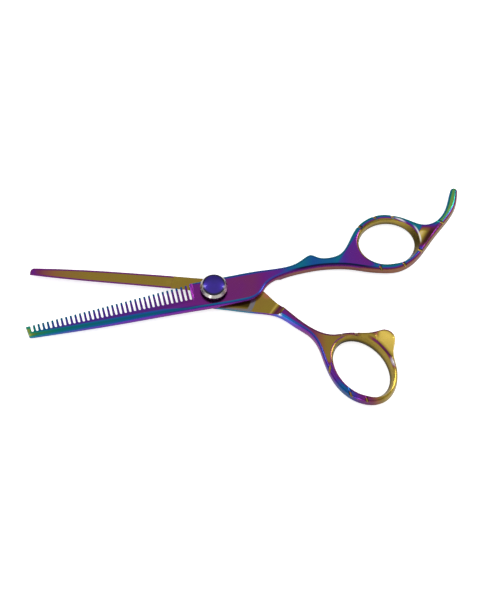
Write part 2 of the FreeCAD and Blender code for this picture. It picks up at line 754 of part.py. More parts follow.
faults = []
for thing in doc.Objects:
    if "Invalid" in thing.State or "Error" in thing.State:
        faults.append("%s is %s" % (thing.Label, thing.State))
for body in parts:
    if body.Shape.isNull() or not body.Shape.isValid() or len(body.Shape.Solids) != 1:
        faults.append("%s is not one valid solid" % body.Label)
if faults:
    raise RuntimeError("; ".join(faults))
for body in parts:
    body.Shape.exportStep("parts/%s.step" % body.Label)
    print(body.Label, round(body.Shape.Volume, 1), "mm3")
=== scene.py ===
import json
import math

import bpy
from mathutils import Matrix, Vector

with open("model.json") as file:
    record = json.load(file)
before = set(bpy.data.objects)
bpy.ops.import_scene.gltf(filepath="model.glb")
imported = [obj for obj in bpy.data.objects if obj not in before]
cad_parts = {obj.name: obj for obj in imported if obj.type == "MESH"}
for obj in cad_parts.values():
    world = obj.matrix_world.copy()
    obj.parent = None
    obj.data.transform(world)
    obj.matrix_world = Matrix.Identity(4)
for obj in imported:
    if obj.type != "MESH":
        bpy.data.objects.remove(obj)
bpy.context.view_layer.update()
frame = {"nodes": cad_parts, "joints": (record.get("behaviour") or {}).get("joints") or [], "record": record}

# Thinning shears with a rainbow (interference) coating, lying on a pale table.
# The frame holds every piece; this script gives them their finishes, and sets the
# table, the lights and the camera.  Shader positions are millimetres from the pivot,
# with z = 0 on the plane where the two halves slide.

MM = 0.001
PIVOT = Vector(frame["joints"][0]["pos_m"])

# from the CAD, in mm: the round ride area by the pivot, and the rounding of the edges
RIDE_RADIUS = 16.5
EDGE_ROUND = 1.1

# slopes of the line of the tooth tips and of the upper edge beside the pivot
TOOTH_LINE_SLOPE = math.tan(math.radians(16.15))
UPPER_EDGE_SLOPE = 0.2

# radians of the wave of turned tool marks for each mm of radius
TOOL_MARKS = 42.0

# the camera looks down at this angle, past the pivot; lengths in metres
ELEVATION = math.radians(63)
FRAME_HEIGHT = 0.2286
CAMERA_DISTANCE = 0.8
LOOK_RIGHT = 0.00998
LOOK_DOWN = 0.00324
TABLE_SIZE = 1.6


def opening_centre(name):
    """Middle of one of the record's openings, in millimetres from the pivot."""
    for opening in frame["record"]["physics"]["openings"]:
        if opening["name"] == name:
            low, high = [Vector(corner) for corner in opening["box_m"]]
            return ((low + high) / 2 - PIVOT) / MM
    raise KeyError(name)


# each ring's rim is an oval round its opening: half axes in mm, tilt in degrees
FINGER_RING = {"centre": opening_centre("finger_ring"), "tilt": -5,
               "half_long": 13.3, "half_wide": 11.9}
THUMB_RING = {"centre": opening_centre("thumb_ring"), "tilt": -55,
              "half_long": 16.25, "half_wide": 11.85}
WEB_CENTRE = Vector((80.7, 23.7, 0))

# Colours of the coating by its phase from 0 to 1, on the 0-255 display scale.
FILM = [(0.00, (226, 216, 186)), (0.08, (206, 178, 84)), (0.18, (142, 120, 48)),
        (0.28, (142, 92, 60)), (0.38, (120, 54, 82)), (0.48, (112, 36, 124)),
        (0.58, (80, 46, 152)), (0.68, (28, 84, 152)), (0.78, (22, 112, 136)),
        (0.86, (20, 136, 120)), (0.93, (70, 140, 76)), (1.00, (152, 152, 62))]
FILM_GAIN = 1.1


def display(red, green, blue, gain=1.0):
    """Linear colour of an 0-255 display colour."""
    linear = []
    for channel in (red, green, blue):
        value = channel / 255
        value = value / 12.92 if value <= 0.04045 else ((value + 0.055) / 1.055) ** 2.4
        linear.append(min(1.0, value * gain))
    return (*linear, 1.0)


def grey(value):
    return (value, value, value, 1.0)


class Finish:
    """A node material, with short names for the nodes that the finishes share."""

    def __init__(self, name):
        self.material = bpy.data.materials.new(name)
        self.material.use_nodes = True
        self.nodes = self.material.node_tree.nodes
        self.links = self.material.node_tree.links
        self.nodes.clear()
        output = self.nodes.new("ShaderNodeOutputMaterial")
        self.surface = self.nodes.new("ShaderNodeBsdfPrincipled")
        self.links.new(self.surface.outputs[0], output.inputs[0])
        texture = self.nodes.new("ShaderNodeTexCoord")
        centred = self.vector("SUBTRACT", texture.outputs["Object"], tuple(PIVOT))
        self.place = self.vector("SCALE", centred, 1 / MM)
        self.normal = texture.outputs["Normal"]
        self.x, self.y, self.z = self.split(self.place)
        self.nx, self.ny, self.nz = self.split(self.normal)

    def plug(self, value, socket):
        if isinstance(value, bpy.types.NodeSocket):
            self.links.new(value, socket)
        else:
            socket.default_value = value

    def vector(self, operation, first, second=None):
        node = self.nodes.new("ShaderNodeVectorMath")
        node.operation = operation
        self.plug(first, node.inputs[0])
        if operation == "SCALE":
            self.plug(second, node.inputs["Scale"])
        elif second is not None:
            self.plug(second, node.inputs[1])
        scalar = operation in ("DOT_PRODUCT", "LENGTH", "DISTANCE")
        return node.outputs["Value" if scalar else "Vector"]

    def split(self, vector):
        node = self.nodes.new("ShaderNodeSeparateXYZ")
        self.plug(vector, node.inputs[0])
        return node.outputs[0], node.outputs[1], node.outputs[2]

    def maths(self, operation, first, second=0.0, clamp=False):
        node = self.nodes.new("ShaderNodeMath")
        node.operation = operation
        node.use_clamp = clamp
        self.plug(first, node.inputs[0])
        self.plug(second, node.inputs[1])
        return node.outputs[0]

    def product(self, *factors):
        result = factors[0]
        for factor in factors[1:]:
            result = self.maths("MULTIPLY", result, factor)
        return result

    def step(self, value, low, high):
        """Smooth 0 to 1 as value goes from low to high (low may be the larger)."""
        node = self.nodes.new("ShaderNodeMapRange")
        node.interpolation_type = "SMOOTHSTEP"
        self.plug(value, node.inputs["Value"])
        if low <= high:
            limits = (low, high, 0.0, 1.0)
        else:
            limits = (high, low, 1.0, 0.0)
        for number, limit in zip((1, 2, 3, 4), limits):
            node.inputs[number].default_value = limit
        return node.outputs["Result"]

    def ramp(self, value, stops):
        """Colour ramp; value runs from 0 to 1."""
        node = self.nodes.new("ShaderNodeValToRGB")
        node.color_ramp.interpolation = "LINEAR"
        points = node.color_ramp.elements
        while len(points) < len(stops):
            points.new(0.5)
        for point, (position, colour) in zip(points, stops):
            point.position = position
            point.color = colour
        self.plug(value, node.inputs[0])
        return node.outputs[0]

    def curve(self, value, low, high, points):
        """Number that follows (value, result) points between low and high."""
        scaled = self.nodes.new("ShaderNodeMapRange")
        self.plug(value, scaled.inputs["Value"])
        scaled.inputs[1].default_value = low
        scaled.inputs[2].default_value = high
        stops = [((at - low) / (high - low), grey(result)) for at, result in points]
        return self.ramp(scaled.outputs["Result"], stops)

    def mix(self, factor, first, second):
        node = self.nodes.new("ShaderNodeMix")
        node.data_type = "FLOAT"
        self.plug(factor, node.inputs["Factor"])
        self.plug(first, node.inputs[2])
        self.plug(second, node.inputs[3])
        return node.outputs[0]

    def blend(self, factor, first, second):
        """Mixes colours, where mix() mixes numbers."""
        node = self.nodes.new("ShaderNodeMix")
        node.data_type = "RGBA"
        self.plug(factor, node.inputs["Factor"])
        self.plug(first, node.inputs[6])
        self.plug(second, node.inputs[7])
        return node.outputs[2]

    def noise(self, scale, detail=3.0, stretch=(1, 1, 1)):
        """Noise between 0 and 1; scale is in waves per millimetre."""
        node = self.nodes.new("ShaderNodeTexNoise")
        self.links.new(self.vector("MULTIPLY", self.place, stretch), node.inputs["Vector"])
        node.inputs["Scale"].default_value = scale
        node.inputs["Detail"].default_value = detail
        return node.outputs[0]

    def bump(self, height, depth, strength):
        """Feeds the surface normal; depth in millimetres for a height of 0 to 1."""
        node = self.nodes.new("ShaderNodeBump")
        node.inputs["Strength"].default_value = strength
        node.inputs["Distance"].default_value = depth * MM
        self.plug(height, node.inputs["Height"])
        self.links.new(node.outputs[0], self.surface.inputs["Normal"])

    def set(self, **values):
        for name, value in values.items():
            self.plug(value, self.surface.inputs[name.replace("_", " ")])


def direction(x, y, z=0.0):
    return tuple(Vector((x, y, z)).normalized())


def tilt_from_top(finish, sideways):
    """Angle of the surface from level, in right angles, positive towards sideways.

    The flat undersides count as level too."""
    lean = finish.vector("DOT_PRODUCT", finish.normal, sideways)
    angle = finish.maths("ARCTAN2", lean, finish.nz)
    tilt = finish.maths("DIVIDE", angle, math.pi / 2)
    return finish.mix(finish.step(finish.nz, -0.7, -0.95), tilt, 0.0)


def around_ring(finish, ring):
    """Where a point lies on a finger ring.

    out is -1 on the hole's wall and 1 on the rim, outward the level direction away
    from the ring's centre, and reach is 1 along the rim."""
    offset = finish.vector("SUBTRACT", finish.place, tuple(ring["centre"]))
    level = finish.vector("MULTIPLY", offset, (1, 1, 0))
    outward = finish.vector("NORMALIZE", level)
    out = finish.vector("DOT_PRODUCT", finish.normal, outward)
    turn = math.radians(ring["tilt"])
    long_axis = Vector((math.cos(turn), math.sin(turn), 0)) / ring["half_long"]
    wide_axis = Vector((-math.sin(turn), math.cos(turn), 0)) / ring["half_wide"]
    along = finish.vector("DOT_PRODUCT", level, tuple(long_axis))
    across = finish.vector("DOT_PRODUCT", level, tuple(wide_axis))
    squares = finish.maths("ADD", finish.maths("POWER", along, 2.0),
                           finish.maths("POWER", across, 2.0))
    reach = finish.maths("SQRT", squares)
    return out, outward, reach


def coating(finish, phase, light, painted_highlight):
    """Interference coating over polished steel, with its fine wear.

    phase picks the colour, light scales it with painted light and shade, and painted_highlight whitens it
    into painted highlights."""
    cloud = finish.noise(0.16, 4.0)
    fine = finish.noise(1.7, 5.0)
    drift = finish.maths("MULTIPLY", finish.maths("SUBTRACT", cloud, 0.5), 0.06)
    grain = finish.maths("MULTIPLY", finish.maths("SUBTRACT", fine, 0.5), 0.02)
    thickness = finish.maths("ADD", phase, finish.maths("ADD", drift, grain), clamp=True)
    stops = [(at, display(*colour, gain=FILM_GAIN)) for at, colour in FILM]
    colour = finish.ramp(thickness, stops)
    # light is painted light and shade; painted_highlight whitens the colour into a painted highlight
    colour = finish.vector("SCALE", colour, light)
    colour = finish.blend(painted_highlight, colour, grey(1.0))

    polish = finish.noise(0.9, 6.0, (0.12, 2.6, 2.6))
    specks = finish.step(finish.noise(2.6, 8.0), 0.68, 0.76)
    worn = finish.blend(finish.maths("MULTIPLY", specks, 0.12), colour, display(150, 140, 130))
    roughness = finish.maths("ADD", finish.maths("MULTIPLY", polish, 0.16), 0.15)
    roughness = finish.maths("ADD", roughness, finish.maths("MULTIPLY", specks, 0.12))
    finish.set(Base_Color=worn, Metallic=1.0, Roughness=roughness)
    height = finish.maths("ADD", polish, finish.maths("MULTIPLY", fine, 0.4))
    finish.bump(height, 0.006, 0.5)


def nick_tone(finish):
    """1 in the nicks of the rims, which lie below the rims' rounded surface."""
    surface = finish.maths("ADD", finish.maths("MULTIPLY", finish.nz, EDGE_ROUND), EDGE_ROUND)
    depth = finish.maths("SUBTRACT", surface, finish.z)
    return finish.product(finish.step(depth, 0.04, 0.12), finish.step(finish.nz, 0.10, 0.25))


def front_level(finish):
    """Phase of the toothed half's level faces, along the blade and the shank."""
    x, y = finish.x, finish.y
    level = finish.curve(x, -72, 96, [
        (-72, 1.0), (-70.6, 0.98), (-69.4, 0.88), (-67.5, 0.78), (-64, 0.69), (-60, 0.61),
        (-54, 0.59), (-45, 0.575), (-33, 0.555), (-16, 0.52), (-5, 0.475), (8, 0.44), (15, 0.43),
        (20, 0.49), (25, 0.56), (29, 0.72), (33, 0.78), (38, 0.67), (44, 0.72),
        (48, 0.62), (52, 0.53), (60, 0.50)])
    tip_line = finish.maths("SUBTRACT", y, finish.maths("MULTIPLY", x, TOOTH_LINE_SLOPE))
    near_tip = finish.product(finish.step(tip_line, 3.2, 4.8), finish.step(x, -9.2, -12.0), 0.8)
    level = finish.mix(near_tip, level, 0.80)
    edge_line = finish.maths("SUBTRACT", y, finish.maths("MULTIPLY", x, UPPER_EDGE_SLOPE))
    upper_edge = finish.product(finish.step(edge_line, 3.0, 3.8), finish.step(x, -9, -5),
                                finish.step(x, 32, 27))
    level = finish.mix(upper_edge, level, 0.68)
    rise_line = finish.vector("DOT_PRODUCT", finish.place, (-0.86, 0.51, 0))
    rising_edge = finish.product(finish.step(rise_line, -35.4, -34.2), finish.step(x, 44, 48))
    level = finish.mix(rising_edge, level, 0.79)
    return level


def front_blade_and_shank(finish):
    """Phase over the rounded edges and flanks too, and their tilt from level."""
    x = finish.x
    level = front_level(finish)

    # tilt runs from the upper edge (-1) over the top to the lower edge (+1)
    tilt = tilt_from_top(finish, direction(0.2, -0.98))
    blade_flank = finish.curve(tilt, -1.2, 1.4, [
        (-1.2, 0.74), (-0.5, 0.78), (-0.24, 0.70), (0.0, 0.62), (0.06, 0.68), (0.12, 0.72),
        (0.30, 0.71), (0.42, 0.64), (0.54, 0.54), (0.80, 0.49), (1.0, 0.47), (1.4, 0.40)])
    shank_flank = finish.curve(tilt, -1.2, 1.4, [
        (-1.2, 0.76), (-0.5, 0.80), (-0.12, 0.74), (0.05, 0.68), (0.20, 0.64), (0.30, 0.60),
        (0.45, 0.53), (0.62, 0.48), (0.80, 0.44), (0.93, 0.38), (1.0, 0.32), (1.1, 0.26),
        (1.4, 0.23)])
    on_shank = finish.step(x, 24, 31)
    flank = finish.mix(on_shank, blade_flank, shank_flank)
    bevel_drift = finish.curve(x, -72, 30, [
        (-72, 0.24), (-66, 0.16), (-60, 0.11), (-50, 0.07), (-35, 0.03), (-10, 0.0)])
    flank_drift = finish.curve(x, -72, 30, [
        (-72, 0.30), (-62, 0.22), (-50, 0.13), (-35, 0.08), (-15, 0.03), (0, 0.0)])
    low_side = finish.step(tilt, 0.35, 0.55)
    flank = finish.maths("ADD", flank, finish.mix(low_side, bevel_drift, flank_drift))
    crotch = finish.product(finish.step(x, 12, 18), finish.step(x, 30, 24), 0.09)
    flank = finish.maths("SUBTRACT", flank, crotch)
    lower_edge = finish.step(tilt, 0.03, 0.08)
    levelness = finish.maths("ABSOLUTE", finish.nz)
    sloping = finish.maths("MAXIMUM", lower_edge, finish.step(levelness, 0.975, 0.93))
    phase = finish.mix(sloping, level, flank)
    return phase, tilt


def front_shading(finish, phase, tilt):
    """Painted dark reflection along the shank, painted shade in a stripe beside the spine, and painted light
    on the lower flank, the tip and the shoulder by the teeth.
    """
    x, y, z = finish.x, finish.y, finish.z

    # painted dark reflection where the shank's top rounds over
    painted_dark_reflection = finish.product(finish.step(tilt, 0.03, 0.12), finish.step(tilt, 0.52, 0.34),
                            finish.step(x, 27, 34), finish.step(x, 66, 56), 0.8)
    light = finish.maths("SUBTRACT", 1.0, painted_dark_reflection)

    # painted shade in a narrow dark stripe beside the blade's spine, and painted light on the flank below it
    spine_line = finish.maths("SUBTRACT", y, finish.maths("MULTIPLY", x, 0.187))
    off_middle = finish.maths("ABSOLUTE", finish.maths("ADD", spine_line, 6.15))
    stripe = finish.product(finish.step(off_middle, 0.75, 0.2), finish.step(tilt, 0.4, 0.3),
                            finish.step(x, 4, -12))
    phase = finish.maths("ADD", phase, finish.maths("MULTIPLY", stripe, 0.085))
    light = finish.maths("SUBTRACT", light, finish.maths("MULTIPLY", stripe, 0.3))
    blade_side = finish.product(finish.step(tilt, 0.45, 0.6), finish.step(x, 12, 2))
    light = finish.mix(blade_side, light, 1.45)

    # painted highlights on the tip and on the shoulder by the teeth
    blade_end = finish.product(finish.step(x, -68.9, -70.2), 0.9)
    light = finish.mix(blade_end, light, 1.35)
    shoulder = finish.product(finish.step(finish.nx, -0.10, -0.35), finish.step(x, -13, -11),
                              finish.step(x, -5, -7), finish.step(z, 1.0, 1.5))
    phase = finish.mix(shoulder, phase, 0.48)
    light = finish.mix(shoulder, light, 2.3)
    return phase, light


def finger_ring(finish, phase):
    """Finger ring: its colours turn from the side away from the viewer to the near side.

    Also returns the ring's place values: far_side is 1 on the side away from the viewer,
    and width is reach less the widening of the funnel."""
    x, y = finish.x, finish.y
    out, outward, reach = around_ring(finish, FINGER_RING)
    near = finish.vector("DOT_PRODUCT", finish.normal, direction(0.25, -0.97))
    turned = finish.curve(near, -1, 1, [
        (-1, 0.86), (-0.4, 0.81), (-0.1, 0.78), (0.08, 0.74), (0.25, 0.66), (0.42, 0.54),
        (0.62, 0.42), (0.80, 0.32), (1, 0.28)])
    widened = finish.curve(x, 60, 84, [(60, 0.0), (69, 0.0), (78, 0.10), (84, 0.12)])
    width = finish.maths("SUBTRACT", reach, widened)
    flat_top = finish.curve(width, 0.8, 1.4, [
        (0.8, 0.44), (0.86, 0.48), (0.88, 0.62), (0.90, 0.76), (0.93, 0.80), (1.4, 0.82)])
    upper_half = finish.product(finish.step(y, FINGER_RING["centre"].y - 4,
                                            FINGER_RING["centre"].y + 6),
                                finish.step(finish.nz, 0.96, 0.99))
    turned = finish.mix(upper_half, turned, flat_top)
    inner = finish.curve(out, -1, 0.2, [
        (-1, 0.13), (-0.75, 0.14), (-0.50, 0.17), (-0.40, 0.20), (-0.32, 0.32), (-0.25, 0.44),
        (-0.15, 0.58), (0.2, 0.74)])
    far_side = finish.vector("DOT_PRODUCT", outward, direction(-0.25, 0.97))
    inside = finish.product(finish.step(out, -0.12, -0.28), finish.step(far_side, -0.75, -0.45))
    ring = finish.mix(inside, turned, inner)
    web_side = finish.vector("DOT_PRODUCT", outward, direction(-0.95, -0.3))
    web_side = finish.product(finish.step(web_side, 0.55, 0.8), finish.step(out, -0.4, -0.15),
                              finish.step(near, 0.25, 0.12))
    on_ring = finish.step(reach, 1.25, 1.08)
    on_ring = finish.maths("MULTIPLY", on_ring, finish.maths("SUBTRACT", 1.0, web_side))
    phase = finish.mix(on_ring, phase, ring)
    return phase, out, reach, far_side, width


def finger_ring_light(finish, phase, light, out, reach, far_side, width):
    """Painted light on the far wall and painted shade on the near wall of the finger ring's hole, its
    painted pink lip and painted white highlights.
    """
    x, y, z = finish.x, finish.y, finish.z
    # painted shade: the hole's wall darkens deeper down and on the near side, with painted light on the far
    # side
    hole_wall = finish.product(finish.step(out, -0.5, -0.8), finish.step(reach, 1.0, 0.95))
    depth = finish.curve(z, -2.2, 2.2, [(-2.2, 0.2), (-1.0, 0.35), (0.2, 0.7), (1.6, 0.95)])
    wall_light = finish.maths("MULTIPLY", depth, finish.curve(far_side, -1, 1, [
        (-1, 0.4), (-0.2, 0.35), (0.2, 0.5), (0.6, 0.95), (1, 1.0)]))
    light = finish.mix(hole_wall, light, wall_light)

    # painted pink highlight on the lip, and painted white highlights at the top and at the right
    lip = finish.product(finish.step(out, -0.15, -0.3), finish.step(width, 0.835, 0.86),
                         finish.step(reach, 1.0, 0.97), finish.step(far_side, -0.55, -0.25))
    phase = finish.mix(lip, phase, 0.45)
    light = finish.mix(lip, light, 1.6)
    top_lit = finish.step(finish.vector("DISTANCE", finish.place, (71.0, 29.5, 2.2)), 3.0, 0.4)
    top_lit = finish.product(top_lit, finish.step(reach, 0.855, 0.88),
                             finish.step(reach, 0.93, 0.905), 0.85)
    from_arc = finish.maths("ABSOLUTE", finish.maths("SUBTRACT", reach, 0.985))
    right_lit = finish.product(finish.step(from_arc, 0.035, 0.005), finish.step(y, 19.2, 22.0),
                               finish.step(y, 27.8, 25.5), finish.step(x, 72, 75),
                               finish.step(z, 0.9, 1.5), 0.85)
    painted_highlight = finish.maths("MAXIMUM", top_lit, right_lit)
    return phase, light, painted_highlight


def finger_rest(finish, phase, light, reach):
    """Web with painted light beside the ring and painted shade beside the rail, then a green tang with
    painted light.
    """
    y = finish.y
    from_web = finish.vector("SUBTRACT", finish.place, tuple(WEB_CENTRE))
    side = finish.vector("DOT_PRODUCT", from_web, direction(0.883, -0.469))
    up = finish.vector("DOT_PRODUCT", from_web, direction(0.469, 0.883))

    # side runs across the scooped web, from the ring (-4) to the rail (+4)
    trough = finish.curve(side, -4, 4, [
        (-4, 0.30), (-2.8, 0.16), (-2.3, 0.10), (-1.8, 0.06), (-1.1, 0.07), (-0.4, 0.12),
        (0.2, 0.17), (0.6, 0.24), (1.0, 0.32), (2.1, 0.34), (2.4, 0.50), (2.8, 0.44),
        (3.2, 0.30), (4, 0.24)])
    # painted light and shade across the web: lighter beside the ring, dark beside the rail
    trough_light = finish.curve(side, -4, 4, [
        (-4, 0.6), (-2.7, 0.60), (-2.2, 0.58), (-1.7, 0.52), (-0.9, 0.46), (-0.3, 0.40),
        (0.2, 0.32), (0.7, 0.20), (1.0, 0.12), (2.0, 0.12), (2.4, 0.45), (4, 0.45)])
    trough_light = finish.maths("MULTIPLY", trough_light, 2.0)
    ends = finish.curve(y, 14, 30, [
        (14, 1.0), (18.0, 1.0), (20.2, 0.0), (24.6, 0.0), (27.0, 1.0), (30, 1.0)])
    ends = finish.maths("MULTIPLY", ends, finish.step(side, 2.3, 1.8))
    end_tone = finish.curve(y, 14, 30, [
        (14, 0.68), (17.5, 0.62), (19.0, 0.46), (26.2, 0.46), (27.6, 0.62), (30, 0.74)])
    trough = finish.mix(ends, trough, end_tone)
    trough_light = finish.mix(ends, trough_light, 0.9)

    # the tang's colours and its painted light follow the way its surface faces
    outer = finish.vector("DOT_PRODUCT", finish.normal, direction(0.86, -0.5))
    tang = finish.curve(outer, -1, 1, [
        (-1, 0.68), (-0.6, 0.74), (-0.25, 0.86), (0.0, 0.95), (0.30, 0.90), (0.42, 0.74),
        (0.58, 0.50), (0.80, 0.34), (1, 0.24)])
    tang_light = finish.curve(outer, -1, 1, [
        (-1, 0.9), (-0.2, 1.0), (0.0, 1.1), (0.1, 0.9), (0.25, 0.9), (0.4, 0.8), (1, 0.85)])
    on_tang = finish.maths("MAXIMUM", finish.step(y, 27.4, 29.4), finish.step(outer, 0.5, 0.7))
    rest = finish.mix(on_tang, trough, tang)
    on_rest = finish.product(finish.step(side, -3.0, -2.3), finish.step(up, -8.5, -6.0),
                             finish.step(reach, 0.93, 0.97))
    phase = finish.mix(on_rest, phase, rest)
    light = finish.mix(on_rest, light, finish.mix(on_tang, trough_light, tang_light))
    return phase, light, side, up


def front_coating():
    """Toothed half: purple blade and shank with blue edges, teal ring, green tang."""
    finish = Finish("front_coating")
    phase, tilt = front_blade_and_shank(finish)
    phase, light = front_shading(finish, phase, tilt)
    phase, out, reach, far_side, width = finger_ring(finish, phase)
    phase, light, painted_highlight = finger_ring_light(finish, phase, light, out, reach, far_side, width)
    phase, light, side, up = finger_rest(finish, phase, light, reach)

    # the nicks across the rim and the rail are gold
    on_rim = finish.product(finish.step(finish.x, 50, 53), finish.step(reach, 0.86, 0.9),
                            finish.step(reach, 1.2, 1.1),
                            finish.maths("MAXIMUM", finish.step(side, -2.0, -3.0),
                                         finish.step(up, -6.0, -6.6)))
    on_rail = finish.product(finish.step(side, 2.3, 2.6), finish.step(up, -7.5, -6.5),
                             finish.step(up, 9.5, 8.5))
    nicks = finish.product(nick_tone(finish), finish.maths("MAXIMUM", on_rim, on_rail))
    phase = finish.mix(nicks, phase, 0.20)
    light = finish.mix(nicks, light, 0.95)
    coating(finish, phase, light, painted_highlight)
    return finish.material


def rear_blade_and_shank(finish):
    """Phase of the plain half's blade and shank, their tilt, and distance from the pivot."""
    x, z = finish.x, finish.z

    # inner face of the blade: gold, mauve towards the tip, darker honed borders
    level = finish.curve(x, -72, 72, [
        (-72, 0.66), (-70, 0.60), (-69, 0.53), (-67.5, 0.42), (-65, 0.34), (-60, 0.26),
        (-53, 0.21), (-46, 0.19), (-10, 0.18), (24, 0.19), (26.5, 0.50), (31, 0.48),
        (36, 0.44), (39.5, 0.33), (43, 0.20), (50, 0.20), (54, 0.38), (61, 0.34), (64, 0.16)])
    from_pivot = finish.vector("LENGTH", finish.vector("MULTIPLY", finish.place, (1, 1, 0)))
    honed = finish.product(finish.step(z, -0.06, -0.03), finish.step(z, 0.3, 0.1),
                           finish.step(from_pivot, RIDE_RADIUS - 0.2, RIDE_RADIUS + 0.2),
                           finish.step(x, 0.0, -2.0))
    level = finish.mix(honed, level, 0.46)
    tilt = tilt_from_top(finish, direction(-0.5, -0.86))
    flank = finish.curve(tilt, -1.2, 1.4, [
        (-1.2, 0.34), (-0.5, 0.38), (-0.12, 0.42), (0.10, 0.56), (0.20, 0.66), (0.34, 0.66),
        (0.46, 0.56), (0.62, 0.52), (0.85, 0.49), (1.0, 0.46), (1.2, 0.36), (1.4, 0.30)])
    levelness = finish.maths("ABSOLUTE", finish.nz)
    phase = finish.mix(finish.step(levelness, 0.975, 0.998), flank, level)
    return phase, tilt, from_pivot


def rear_edges(finish, phase, tilt):
    """Painted blue highlight down the shank's lower edge, teal then magenta flank by the pivot.

    Also returns where the painted highlight, the painted white glint at a corner and the painted copper
    reflection lie."""
    x = finish.x
    low_edge = finish.step(tilt, 0.18, 0.35)
    painted_sheen = finish.product(low_edge, finish.step(x, 20, 24), finish.step(x, 36, 27))
    phase = finish.mix(painted_sheen, phase, finish.curve(tilt, 0, 1.4, [
        (0, 0.62), (0.4, 0.72), (0.8, 0.68), (1.0, 0.63), (1.4, 0.5)]))
    # painted white glint at the corner of the lower edge
    corner = finish.step(finish.vector("DISTANCE", finish.place, (25.0, -10.5, 1.5)), 1.5, 0.2)
    corner = finish.product(corner, low_edge, 0.85)
    # painted copper reflection by the front half's corner, brightened in rear_coating
    copper = finish.step(finish.vector("DISTANCE", finish.place, (20.3, -1.4, 0)), 2.4, 0.8)
    phase = finish.mix(copper, phase, 0.28)
    heel = finish.product(finish.step(tilt, 0.2, 0.4), finish.step(x, 23, 20), finish.step(x, 0, 2))
    phase = finish.mix(heel, phase, finish.curve(x, 0, 24, [
        (0, 0.80), (13, 0.76), (17, 0.56), (24, 0.46)]))
    return phase, painted_sheen, corner, copper


def ground_step(finish, phase):
    """Wheel-ground step up to the shank: gold, maroon, gold."""
    x, z = finish.x, finish.z
    climb = finish.vector("DOT_PRODUCT", finish.normal, direction(-0.8, 0.6))
    on_step = finish.product(finish.step(climb, 0.04, 0.10), finish.step(x, 20.0, 20.8),
                             finish.step(x, 29.5, 28.5), finish.step(z, -0.2, 0.0))
    step_bands = finish.curve(climb, 0, 1, [
        (0.0, 0.18), (0.14, 0.10), (0.26, 0.24), (0.38, 0.40), (0.52, 0.38), (0.62, 0.20),
        (0.8, 0.14)])
    return finish.mix(on_step, phase, step_bands)


def thumb_ring(finish, phase):
    """Thumb ring: blue at the lower left, gold at the right.

    Also returns the ring's place values, where the hole's wall is, and its painted shade, darker deeper in
    the hole."""
    z = finish.z
    out, outward, reach = around_ring(finish, THUMB_RING)
    around = finish.vector("DOT_PRODUCT", outward, direction(-0.95, -0.30))
    low_left = finish.vector("DOT_PRODUCT", outward, direction(-0.6, -0.8))
    rim = finish.curve(around, -1, 1, [
        (-1, 0.15), (-0.65, 0.17), (-0.35, 0.22), (-0.1, 0.32), (0.15, 0.44), (0.32, 0.50),
        (0.5, 0.60), (0.66, 0.69), (0.85, 0.70), (0.95, 0.62), (1, 0.54)])
    rim = finish.mix(finish.step(low_left, 0.62, 0.25), rim, 0.15)
    inner = finish.step(out, -0.12, -0.5)
    wall = finish.mix(finish.step(low_left, 0.72, 0.9), 0.16, 0.42)
    ring = finish.mix(inner, rim, wall)
    web_side = finish.vector("DOT_PRODUCT", outward, direction(-0.70, 0.72))
    web_side = finish.product(finish.step(web_side, 0.70, 0.85), finish.step(out, -0.5, -0.2))
    on_ring = finish.step(reach, 1.2, 1.06)
    on_ring = finish.maths("MULTIPLY", on_ring, finish.maths("SUBTRACT", 1.0, web_side))
    phase = finish.mix(on_ring, phase, ring)
    # painted shade: the hole's wall darkens towards the bottom
    hole_wall = finish.product(finish.step(out, -0.5, -0.8), finish.step(reach, 1.0, 0.95))
    wall_light = finish.curve(z, -2.2, 2.2, [(-2.2, 0.12), (-0.3, 0.18), (0.4, 0.5), (1.2, 0.95)])
    return phase, out, reach, low_left, hole_wall, wall_light


def thumb_spur(finish, phase, light, out, reach, low_left):
    """Spur with painted light, the maroon ridge between it and the funnel of the hole, and the painted pink
    highlight on the lip.
    """
    x, y, z = finish.x, finish.y, finish.z
    spur = finish.product(finish.step(x, 60.5, 64.0), finish.step(reach, 1.0, 1.12),
                          finish.step(y, -32.0, -28.0))
    spur_tone = finish.curve(finish.ny, -1, 1, [
        (-1, 0.14), (-0.2, 0.10), (0.2, 0.14), (0.45, 0.36), (1, 0.46)])
    phase = finish.mix(spur, phase, spur_tone)
    # painted light brightens the spur
    light = finish.mix(spur, light, 1.45)
    ridge = finish.product(finish.step(reach, 0.90, 0.94), finish.step(reach, 1.03, 0.99),
                           finish.step(x, 58.5, 61.5), finish.step(y, -35.0, -32.0))
    phase = finish.mix(ridge, phase, 0.42)
    # painted pink highlight on the lip of the hole
    lip = finish.product(finish.step(out, -0.2, -0.45), finish.step(z, 1.2, 1.7),
                         finish.step(reach, 1.0, 0.97), finish.step(low_left, 0.35, 0.6))
    phase = finish.mix(lip, phase, 0.45)
    light = finish.mix(lip, light, 1.7)
    return phase, light, ridge


def ride_area(finish, light, from_pivot):
    """Polished ride area behind the pivot, with painted shadow and dark reflection of the front half inside,
    and bare round its border.
    """
    x, z = finish.x, finish.z
    ride = finish.product(finish.step(from_pivot, RIDE_RADIUS + 0.1, RIDE_RADIUS - 0.1),
                          finish.step(z, -0.3, -0.1), finish.step(x, 3.0, 3.4))
    edge = finish.vector("DOT_PRODUCT", finish.place, direction(0.09, 0.995))
    border = finish.maths("MAXIMUM", finish.step(from_pivot, RIDE_RADIUS - 1.9, RIDE_RADIUS - 1.4),
                          finish.step(edge, -6.1, -6.6))
    inside = finish.maths("MULTIPLY", ride, finish.maths("SUBTRACT", 1.0, border))
    # painted shadow and dark reflection, darker towards the front half's edge
    inside_light = finish.curve(edge, -7, -4, [(-7, 0.9), (-6.0, 0.7), (-5.2, 0.2)])
    light = finish.mix(inside, light, inside_light)
    return light, finish.maths("MULTIPLY", ride, border)


